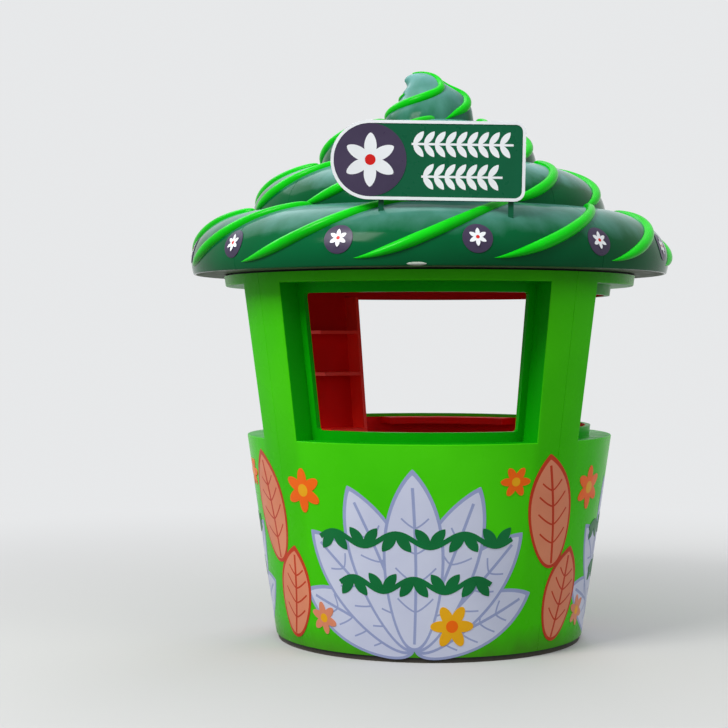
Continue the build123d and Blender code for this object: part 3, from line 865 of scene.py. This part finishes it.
def vine_shapes(half, turns):
    """The stem and leaves of a vine, each a flat shape with its place."""
    stem = []
    for step in range(VINE_STEPS + 1):
        x = half * (2 * step / VINE_STEPS - 1)
        stem.append((x, vine_height(x, half, turns)))
    shapes = [(flat_ribbon(stem, VINE_WIDTH), Matrix.Translation((0, 0, VINYL)))]
    for k in range(round(2 * turns)):
        x = half * ((2 * k + 1) / (2 * turns) - 1)
        downwards = 0 if k % 2 else 180
        for turn in (-38, 38):
            place = flat_place(x, vine_height(x, half, turns), turn + downwards)
            shapes.append((flat_oval(VINE_LEAF, VINE_LEAF * 0.46, tip=1.8, base=1.5), place))
    return shapes


for centre in SPRAY_CENTRES:
    for level, half, turns in VINES:
        for shape, place in vine_shapes(half, turns):
            lifted = Matrix.Translation((0, level, 0)) @ place
            add_shape(prints["ornament"], shape, lifted, VINYL * VINE_LAYER, centre)

for name, bm in prints.items():
    finish_piece(bm, f"print_{name}", "kiosk", smooth=False)

# %% A small spray on the door
DOOR_SPRAY = ((-40, 0.46, 0.19), (40, 0.46, 0.19), (0, 0.54, 0.21))
DOOR_SPRAY_FOOT = -0.22
door_prints = {name: bmesh.new() for name in ("edge", "blade", "petal", "heart")}
lay_spray(door_prints["edge"], door_prints["blade"], DOOR_SPRAY, DOOR_SPRAY_FOOT, 180)
add_flower(door_prints["petal"], door_prints["heart"], 0, -0.20, 0.08, 180, 4)
for name, bm in door_prints.items():
    finish_piece(bm, f"door_print_{name}", "rear_door", smooth=False)

# %% [markdown]
# ## Sign, badges and lamp
#
# The sign's board, white border and round disc are packed at their real size. What they
# lack is print, so the disc and the badges get a flower and the board two leafy sprigs.

# %% Print on the sign
SIGN_FRONT = reach_1 - 0.128
SIGN_HALF = 0.1915
SIGN_MIDDLE = top_1 - 0.013 + SIGN_HALF
SIGN_TILT = 1.1
SIGN_DISC_X = -0.2775
SIGN_DISC_PROUD = 0.002
SIGN_PRINT = 0.0004
PETAL_STEP = 0.00003
HEART_STEP = 0.0005
sign_place = (
    Matrix.Rotation(radians(ROOF_TURN), 4, "Z")
    @ Matrix.Translation((0, -SIGN_FRONT, SIGN_MIDDLE))
    @ Matrix.Rotation(radians(SIGN_TILT), 4, "Y")
    @ Matrix.Rotation(radians(90), 4, "X")
)


def flower_motif(petals, heart, place, size, proud):
    for k in range(6):
        turn = place @ Matrix.Rotation(radians(60 * k), 4, "Z")
        petal = flat_oval(size, size * 0.46, tip=1.3, base=1.6)
        add_shape(petals, petal, turn, proud + k * PETAL_STEP)
    middle = place @ Matrix.Translation((0, -size * 0.2, 0))
    add_shape(heart, flat_oval(size * 0.4, size * 0.4), middle, proud + HEART_STEP)


white_print = bmesh.new()
red_print = bmesh.new()
disc_place = sign_place @ Matrix.Translation((SIGN_DISC_X, 0, SIGN_DISC_PROUD))
flower_motif(white_print, red_print, disc_place, 0.13, SIGN_PRINT)
SPRIG_MIDDLE = 0.165
SPRIG_STEM = 0.011
SPRIG_LEAF = 0.078
SPRIG_SPACING = 0.052
SPRIGS = ((0.078, 0.245), (-0.078, 0.195))
for level, half in SPRIGS:
    row = sign_place @ Matrix.Translation((SPRIG_MIDDLE, level, 0))
    add_shape(white_print, flat_ribbon([(-half, 0), (half, 0)], SPRIG_STEM), row, SIGN_PRINT)
    for k in range(int(2 * half / SPRIG_SPACING)):
        for turn in (-38, -142):
            place = row @ flat_place(k * SPRIG_SPACING - half + 0.01, 0, turn)
            leaf = flat_oval(SPRIG_LEAF, SPRIG_LEAF * 0.4, tip=1.7, base=1.5)
            add_shape(white_print, leaf, place, SIGN_PRINT + 0.0001)

# %% Print on the badges
BADGES = 12
BADGE_START = -19.4
BADGE_CLIMB = 15.3
BADGE_PROUD = 0.0032
BADGE_FLOWER = 0.046
BADGE_PRINT = 0.0006
for k in range(BADGES):
    azimuth = ROOF_TURN + BADGE_START + 360 * k / BADGES
    outward = tiers[0].normal(azimuth, BADGE_CLIMB)
    across = Vector((cos(radians(azimuth)), sin(radians(azimuth)), 0))
    place = Matrix((across, outward.cross(across), outward)).transposed().to_4x4()
    place.translation = tiers[0].place(azimuth, BADGE_CLIMB) + outward * BADGE_PROUD
    flower_motif(white_print, red_print, place, BADGE_FLOWER, BADGE_PRINT)
finish_piece(white_print, "print_white", "kiosk", smooth=False)
finish_piece(red_print, "print_red", "kiosk", smooth=False)

# %% Lens of the lamp on the lip
lamp_low, lamp_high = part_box("lip_lamp")
LENS_DEPTH = 0.011
lens_middle = (lamp_low + lamp_high) / 2
lens_turn = atan2(lens_middle.x, -lens_middle.y)
lens_half = Vector(((lamp_high.x - lamp_low.x) / 2, LENS_DEPTH, (lamp_high.z - lamp_low.z) / 2))
lens = bmesh.new()
place = Matrix.Rotation(lens_turn, 4, "Z")
place @= Matrix.Translation((0, lamp_low.y + LENS_DEPTH, lens_middle.z))
place @= Matrix.Diagonal((*lens_half, 1))
bmesh.ops.create_uvsphere(lens, u_segments=48, v_segments=24, radius=1, matrix=place)
finish_piece(lens, "lip_lamp_lens", "kiosk", ["lip_lamp"])

# %% [markdown]
# ## Hinge screws
#
# Four screws hold each hinge leaf. A screw head is a low dome: a small sphere, flattened,
# with its lower half inside the leaf. Those on the door's leaves ride on the door.

# %% Screws on the hinge leaves
LEAF_FACE = 0.006
SCREW_RADIUS = 0.0055
SCREW_DOME = 0.45
LEAF_MIDDLE = 0.048
SCREW_PLACES = [(across, up) for across in (0.030, 0.068) for up in (-0.034, 0.034)]
hinge_turn = Matrix.Rotation(radians(DOOR_EDGE), 4, "Z")
leaf_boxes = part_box("frame_hinges")
hinge_heights = (leaf_boxes[0].z + LEAF_MIDDLE, leaf_boxes[1].z - LEAF_MIDDLE)


def add_screw(bm, across, height):
    radius = wall_radius(height) + LEAF_FACE
    point = Vector((across, -sqrt(radius**2 - across**2), height))
    outward = Vector((point.x, point.y, -wall_flare * radius)).normalized()
    place = outward.to_track_quat("Z", "Y").to_matrix().to_4x4()
    place.translation = point
    place = hinge_turn @ place @ Matrix.Diagonal((1, 1, SCREW_DOME, 1))
    bmesh.ops.create_uvsphere(bm, u_segments=14, v_segments=8, radius=SCREW_RADIUS, matrix=place)


for name, body, side in (("frame", "kiosk", -1), ("door", "rear_door", 1)):
    screws = bmesh.new()
    for height in hinge_heights:
        for across, up in SCREW_PLACES:
            add_screw(screws, side * across, height + up)
    finish_piece(screws, f"{name}_hinge_screws", body)

# %% [markdown]
# ## Finishes
#
# The kiosk is gel coat over glass fibre: a deep, even colour under a clear gloss, with a
# faint waviness from the mould that bends its reflections. A plain colour would look like a
# drawing, so each finish lets noise vary its colour and its roughness a little.

# %% Helpers for finishes
def linear(red, green, blue):
    """The linear colour of a shade given as 0 to 255 values."""
    shares = [value / 255 for value in (red, green, blue)]
    return tuple(s / 12.92 if s <= 0.04045 else ((s + 0.055) / 1.055) ** 2.4 for s in shares) + (1.0,)


def add_node(tree, kind, sockets=(), **settings):
    """Adds a shader node and gives each socket its value or its link."""
    node = tree.nodes.new("ShaderNode" + kind)
    for name, value in settings.items():
        setattr(node, name, value)
    for name, value in dict(sockets).items():
        if isinstance(value, bpy.types.NodeSocket):
            tree.links.new(value, node.inputs[name])
        else:
            node.inputs[name].default_value = value
    return node


def mix_shaders(tree, share, first, second):
    sockets = {"Fac": share, 1: first.outputs[0], 2: second.outputs[0]}
    return add_node(tree, "MixShader", sockets)


def colour_ramp(tree, value, stops):
    """Colours along a value, from two pairs of a place and a colour."""
    ramp = add_node(tree, "ValToRGB", {"Fac": value})
    for element, (position, colour) in zip(ramp.color_ramp.elements, stops):
        element.position = position
        element.color = colour
    return ramp.outputs["Color"]


class Finish:
    """A material with its shader, and the steps that give it life."""

    def __init__(self, name, roughness, specular=0.3, metallic=0.0):
        self.material = bpy.data.materials.new(name)
        self.material.use_nodes = True
        self.tree = self.material.node_tree
        self.shader = self.tree.nodes["Principled BSDF"]
        self.shader.inputs["Roughness"].default_value = roughness
        self.shader.inputs["Metallic"].default_value = metallic
        self.shader.inputs["Specular IOR Level"].default_value = specular
        self.place = self.add("TexCoord").outputs["Object"]

    def add(self, kind, sockets=(), **settings):
        return add_node(self.tree, kind, sockets, **settings)

    def plug(self, source, socket):
        self.tree.links.new(source, self.shader.inputs[socket])

    def noise(self, scale, detail, stretch=(1, 1, 1)):
        mapping = self.add("Mapping", {"Vector": self.place, "Scale": stretch})
        sockets = {"Vector": mapping.outputs["Vector"], "Scale": scale, "Detail": detail}
        return self.add("TexNoise", sockets).outputs["Fac"]

    def roughness(self, value, low, high):
        span = {"Value": value, "From Min": 0.3, "From Max": 0.7, "To Min": low, "To Max": high}
        self.plug(self.add("MapRange", span).outputs["Result"], "Roughness")

    def bump(self, value, distance):
        bump = self.add("Bump", {"Height": value, "Distance": distance, "Strength": 1.0})
        self.plug(bump.outputs["Normal"], "Normal")

    def below(self, low, high):
        """1 under the lower height, 0 over the upper one, broken up by noise between."""
        level = self.add("SeparateXYZ", {"Vector": self.place}).outputs["Z"]
        cloud = self.noise(7.0, 6.0, stretch=(1, 1, 0.4))
        wobble = self.add("Math", {0: cloud, 1: high - low, 2: level}, operation="MULTIPLY_ADD")
        half = (high - low) / 2
        span = {"From Min": low + half, "From Max": high + half, "To Min": 1.0, "To Max": 0.0}
        span["Value"] = wobble.outputs["Value"]
        return self.add("MapRange", span).outputs["Result"]

    def film(self, cover, gain, start, tint):
        """Lays a tint over the shade, as thick as the cover times a gain plus a start."""
        thickness = self.add("Math", {0: cover, 1: gain, 2: start}, operation="MULTIPLY_ADD")
        layers = {"Factor": thickness.outputs["Value"], "A": self.shade, "B": linear(*tint)}
        self.plug(self.add("Mix", layers, data_type="RGBA").outputs["Result"], "Base Color")


def mottled(name, dark, pale, roughness, scale=3.0, bump=0.0004, bump_scale=9.0, **shine):
    """A finish whose colour wanders between two near shades."""
    finish = Finish(name, roughness, **shine)
    cloud = finish.noise(scale, 4.0)
    stops = ((0.32, linear(*dark)), (0.68, linear(*pale)))
    finish.shade = colour_ramp(finish.tree, cloud, stops)
    finish.plug(finish.shade, "Base Color")
    finish.roughness(finish.noise(scale * 6, 3.0), roughness * 0.8, roughness * 1.25)
    finish.bump(finish.noise(bump_scale, 2.0), bump)
    return finish


# %% Gel coats
GEL = 0.05
SPLASH = (74, 92, 40)
SPLASH_LOW = 0.03
SPLASH_HIGH = 0.16
gel_wave = {"scale": 1.3, "bump": 0.0005, "bump_scale": 4.0}
body_coat = mottled("body_coat", (60, 192, 8), (72, 206, 14), 0.26, specular=GEL, **gel_wave)
body_coat.film(body_coat.below(SPLASH_LOW, SPLASH_HIGH), 0.55, 0.0, SPLASH)
# The reveals and lips get a darker, deeper green. It is partly a green of their own and partly painted
# shade and green bounce light in the recesses.
recess_green_and_shade = mottled("recess_green_and_shade", (8, 152, 5), (14, 166, 8), 0.34, scale=2.0, specular=GEL)
rib_coat = mottled("rib_coat", (2, 178, 10), (10, 198, 18), 0.22, scale=4.0, bump=0.0008, specular=0.09)
lining_coat = mottled("lining_coat", (212, 8, 6), (228, 14, 10), 0.5, bump_scale=160.0, specular=0.12)
# A lighter red than the lining for the shelf boards and side: painted light, as if they caught the
# light through the window.
shelf_lit_red = mottled("shelf_lit_red", (250, 44, 30), (255, 52, 36), 0.42)
# The soffit's own grey is pale. This darker greenish grey is partly painted shade under the roof's
# overhang.
soffit_grey_and_shade = mottled("soffit_grey_and_shade", (76, 90, 68), (90, 102, 80), 0.5, scale=4.0, specular=0.05)
sign_coat = mottled("sign_coat", (6, 82, 52), (10, 90, 58), 0.3, scale=2.5, specular=0.14)
white_coat = mottled("white_coat", (224, 226, 228), (234, 236, 238), 0.34)
badge_coat = mottled("badge_coat", (58, 48, 72), (66, 56, 80), 0.34, scale=5.0, specular=0.2)
lamp_coat = mottled("lamp_coat", (150, 158, 148), (172, 178, 168), 0.25, scale=20.0)

# %% [markdown]
# Each tier is deep green at its foot and pale blue-green at its top. The pale film is a painted
# reflection of the sky, laid into the gel coat's colour. The peak is pale nearly all over,
# which is why its painted sky reflection is counted from well below its foot.

# %% The roof's gel coat
ROOF_GEL = 0.06
# The pale blue-green below is a painted reflection of the sky on the roof's upper parts. It is not a
# colour of the gel coat.
SKY_SHEEN = (138, 198, 200)
SHEEN_FROM = 0.35
SHEEN_SHARES = (0.35, 0.58, 0.52)
PEAK_SHEEN_SHARE = 0.56
PEAK_SHEEN_DROP = 0.22
roof_wave = {"scale": 1.8, "bump": 0.0016, "bump_scale": 3.0}


def roof_finish(name, foot, top, sheen_share):
    """Deep green that turns paler towards the top of its tier: a painted sky reflection."""
    finish = mottled(name, (0, 78, 40), (2, 92, 50), 0.13, specular=ROOF_GEL, **roof_wave)
    below_sheen = finish.below(foot + SHEEN_FROM * (top - foot), top)
    finish.film(below_sheen, -sheen_share, sheen_share, SKY_SHEEN)
    return finish


roof_coats = [
    roof_finish(f"roof_coat_{number}", tier.foot, tier.foot + tier.rise, share)
    for number, (tier, share) in enumerate(zip(tiers, SHEEN_SHARES), start=1)
]
peak_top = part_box("roof_peak")[1].z
peak_coat = roof_finish("peak_coat", top_3 - PEAK_SHEEN_DROP, peak_top, PEAK_SHEEN_SHARE)

# %% Bare and worn surfaces
DUST = (86, 80, 70)
rough_grain = {"scale": 14.0, "bump": 0.0006, "bump_scale": 60.0}
base_coat = mottled("base_coat", (12, 12, 13), (30, 29, 28), 0.62, **rough_grain)
base_coat.film(base_coat.below(0.0, SPLASH_LOW), 0.7, 0.0, DUST)
fine_grain = {"scale": 12.0, "bump": 0.0008, "bump_scale": 160.0}
floor_coat = mottled("floor_coat", (88, 88, 86), (118, 118, 114), 0.6, **fine_grain)
steel = {"scale": 20.0, "specular": 0.5, "metallic": 0.9}
hinge_coat = mottled("hinge_coat", (150, 152, 154), (182, 184, 186), 0.36, **steel)

# %% Prints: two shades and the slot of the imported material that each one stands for
INKS = {
    "lavender_edge": ((150, 160, 202), (160, 170, 210), "sign_white"),
    "lavender": ((204, 208, 232), (216, 220, 240), "sign_white"),
    "terracotta": ((188, 48, 16), (204, 60, 22), "lining_red"),
    "salmon": ((222, 132, 98), (232, 146, 110), "lining_red"),
    "orange": ((246, 100, 6), (252, 112, 12), "lining_red"),
    "yellow": ((238, 168, 14), (246, 180, 24), "sign_white"),
    "ornament": ((2, 104, 50), (6, 116, 58), "sign_green"),
}
satin = {"roughness": 0.38, "specular": 0.2}
inked = {}
for name, (dark, pale, slot) in INKS.items():
    inked[name] = (mottled(f"{name}_print", dark, pale, **satin), slot)
red_ink = mottled("red_ink", (196, 22, 20), (214, 32, 26), **satin)

# %% Dress every piece
DRESS = {
    "moulded_wall": (body_coat, "body_green"),
    "door_moulding": (body_coat, "body_green"),
    "door_print_edge": inked["lavender_edge"],
    "door_print_blade": inked["lavender"],
    "door_print_petal": inked["orange"],
    "door_print_heart": inked["yellow"],
    "print_white": (white_coat, "sign_white"),
    "print_red": (red_ink, "lining_red"),
    "lip_lamp_lens": (lamp_coat, "lamp_lens"),
    "frame_hinge_screws": (hinge_coat, "hinge_steel"),
    "door_hinge_screws": (hinge_coat, "hinge_steel"),
}
# The lips take the darker recess green, which is partly painted shade.
for side in SIDES:
    DRESS[f"{side}_window_lip_moulding"] = (recess_green_and_shade, "body_green")
for part, coat in zip(("tier_1", "tier_2", "tier_3", "peak"), roof_coats + [peak_coat]):
    DRESS[f"roof_{part}_skin"] = (coat, "roof_green")
    DRESS[f"ribs_{part}_piping"] = (rib_coat, "rib_green")
for name, ink in inked.items():
    DRESS[f"print_{name}"] = ink
for name, (finish, slot) in DRESS.items():
    piece = bpy.data.objects[name]
    piece.data.materials.append(finish.material)
bpy.data.objects["moulded_wall"].data.materials.append(recess_green_and_shade.material)

NODE_COATS = {
    "lining_red": lining_coat,
    "soffit_grey": soffit_grey_and_shade,
    "base_black": base_coat,
    "floor_grey": floor_coat,
    "hinge_steel": hinge_coat,
    "sign_green": sign_coat,
    "sign_white": white_coat,
    "badge_aubergine": badge_coat,
    "lamp_lens": lamp_coat,
    "body_green": body_coat,
    "roof_green": peak_coat,
    "rib_green": rib_coat,
}
# The shelf boards and side take the lighter red of painted light.
OWN_COATS = {"sign_posts": sign_coat, "shelf_boards": shelf_lit_red, "shelf_side": shelf_lit_red}
slots = {part["node"]: part["material_slot"] for part in frame["record"]["subparts"]}
for name, node in frame["nodes"].items():
    for holder in node.material_slots:
        holder.material = OWN_COATS.get(name, NODE_COATS[slots[name]]).material
print(len(DRESS), "new pieces dressed,", len(frame["nodes"]), "nodes")

# %% [markdown]
# ## Floor, light and camera
#
# The light is a bright overcast sky that is brighter overhead. One large soft lamp stands
# high at the front left, with weaker ones at the right and the rear. A broad cool panel above
# shows only as a gleam on the roof, and a small lamp inside keeps the red lining readable.
# The floor and backdrop are pale and take the kiosk's soft shadow. The camera stands where
# the picture was taken from, at eye height.

# %% Floor that fades into the backdrop
BACKDROP = (0.80, 0.81, 0.82, 1.0)
FLOOR_RADIUS = 40
FADE_FROM = 2.2
FADE_TO = 7.0
floor_mesh = bmesh.new()
bmesh.ops.create_circle(floor_mesh, cap_ends=True, segments=96, radius=FLOOR_RADIUS)
ground = add_object("ground", make_mesh(floor_mesh, "ground"))

ground_finish = Finish("ground", 0.9, 0.1)
ground_finish.shader.inputs["Base Color"].default_value = linear(190, 189, 187)
distance = ground_finish.add("VectorMath", {0: ground_finish.place}, operation="LENGTH")
span = {"Value": distance.outputs["Value"], "From Min": FADE_FROM, "From Max": FADE_TO}
fade = ground_finish.add("MapRange", span, interpolation_type="SMOOTHSTEP")
glow = ground_finish.add("Emission", {"Color": BACKDROP})
tree = ground_finish.tree
shaded = mix_shaders(tree, fade.outputs["Result"], ground_finish.shader, glow)


def seen_ray(tree):
    """1 for rays that show the backdrop: from the camera, off gloss or through glass."""
    path = add_node(tree, "LightPath")
    total = path.outputs["Is Camera Ray"]
    for kind in ("Is Glossy Ray", "Is Transmission Ray"):
        either = add_node(tree, "Math", {0: total, 1: path.outputs[kind]}, operation="MAXIMUM")
        total = either.outputs["Value"]
    return total


dull = ground_finish.add("BsdfDiffuse", {"Color": linear(120, 120, 118)})
either_floor = mix_shaders(tree, seen_ray(tree), dull, shaded)
tree.links.new(either_floor.outputs["Shader"], tree.nodes["Material Output"].inputs["Surface"])
ground.data.materials.append(ground_finish.material)

# %% Sky: brighter overhead than at the horizon
SKY = ((0.0, (0.30, 0.31, 0.32, 1.0)), (0.9, (0.92, 0.96, 1.0, 1.0)))
world = bpy.data.worlds.new("sky")
bpy.context.scene.world = world
world.use_nodes = True
tree = world.node_tree
direction = add_node(tree, "TexCoord").outputs["Generated"]
height = add_node(tree, "SeparateXYZ", {"Vector": direction}).outputs["Z"]
overcast = tree.nodes["Background"]
overcast.inputs["Strength"].default_value = 1.0
tree.links.new(colour_ramp(tree, height, SKY), overcast.inputs["Color"])
plain = add_node(tree, "Background", {"Color": BACKDROP})
blend = mix_shaders(tree, seen_ray(tree), overcast, plain)
tree.links.new(blend.outputs["Shader"], tree.nodes["World Output"].inputs["Surface"])


# %% Lamps and camera
def soft_lamp(name, place, target, size, power):
    lamp = bpy.data.lights.new(name, "AREA")
    lamp.size = size
    lamp.energy = power
    holder = add_object(name, lamp)
    holder.location = place
    holder.rotation_euler = (Vector(target) - Vector(place)).to_track_quat("-Z", "Y").to_euler()
    return holder


# name, place, the point it faces, width in metres and power in watts
LAMPS = (
    ("key_light", (-5.0, -7.0, 9.0), (0, 0, 1.5), 4.0, 1000),
    ("side_light", (7.5, -4.0, 6.0), (0, 0, 1.4), 4.0, 135),
    ("rear_light", (2.0, 8.0, 8.5), (0, 0, 1.6), 5.0, 380),
    ("sky_panel", (-4.5, 3.0, 9.5), (0, 0, 2.4), 8.0, 560),
    ("room_light", (0, -0.25, 1.9), (0, 1.0, 1.3), 0.7, 1.0),
)
lamps = {lamp[0]: soft_lamp(*lamp) for lamp in LAMPS}
for name in ("side_light", "rear_light", "room_light"):
    lamps[name].visible_glossy = False
lamps["room_light"].visible_camera = False
lamps["sky_panel"].visible_diffuse = False
lamps["sky_panel"].data.color = (0.80, 0.94, 1.0)

EYE_HEIGHT = 1.65
CAMERA_DISTANCE = 9.1
CAMERA_AZIMUTH = 4.7
AIM_LEFT = 2.25
AIM_DOWN = 0.976
FOCAL_PIXELS = 1643
PHOTO_WIDTH = 728
camera = bpy.data.cameras.new("camera")
camera.sensor_width = 36
camera.lens = camera.sensor_width * FOCAL_PIXELS / PHOTO_WIDTH
stand = add_object("camera", camera)
stand.location = round_axis(CAMERA_AZIMUTH, CAMERA_DISTANCE, EYE_HEIGHT)
to_axis = Vector((-stand.location.x, -stand.location.y, 0))
aim = Matrix.Rotation(radians(AIM_LEFT), 3, "Z") @ to_axis.normalized()
aim.z = -tan(radians(AIM_DOWN))
stand.rotation_euler = aim.to_track_quat("-Z", "Y").to_euler()
bpy.context.scene.camera = stand
bpy.context.scene.view_settings.view_transform = "Standard"
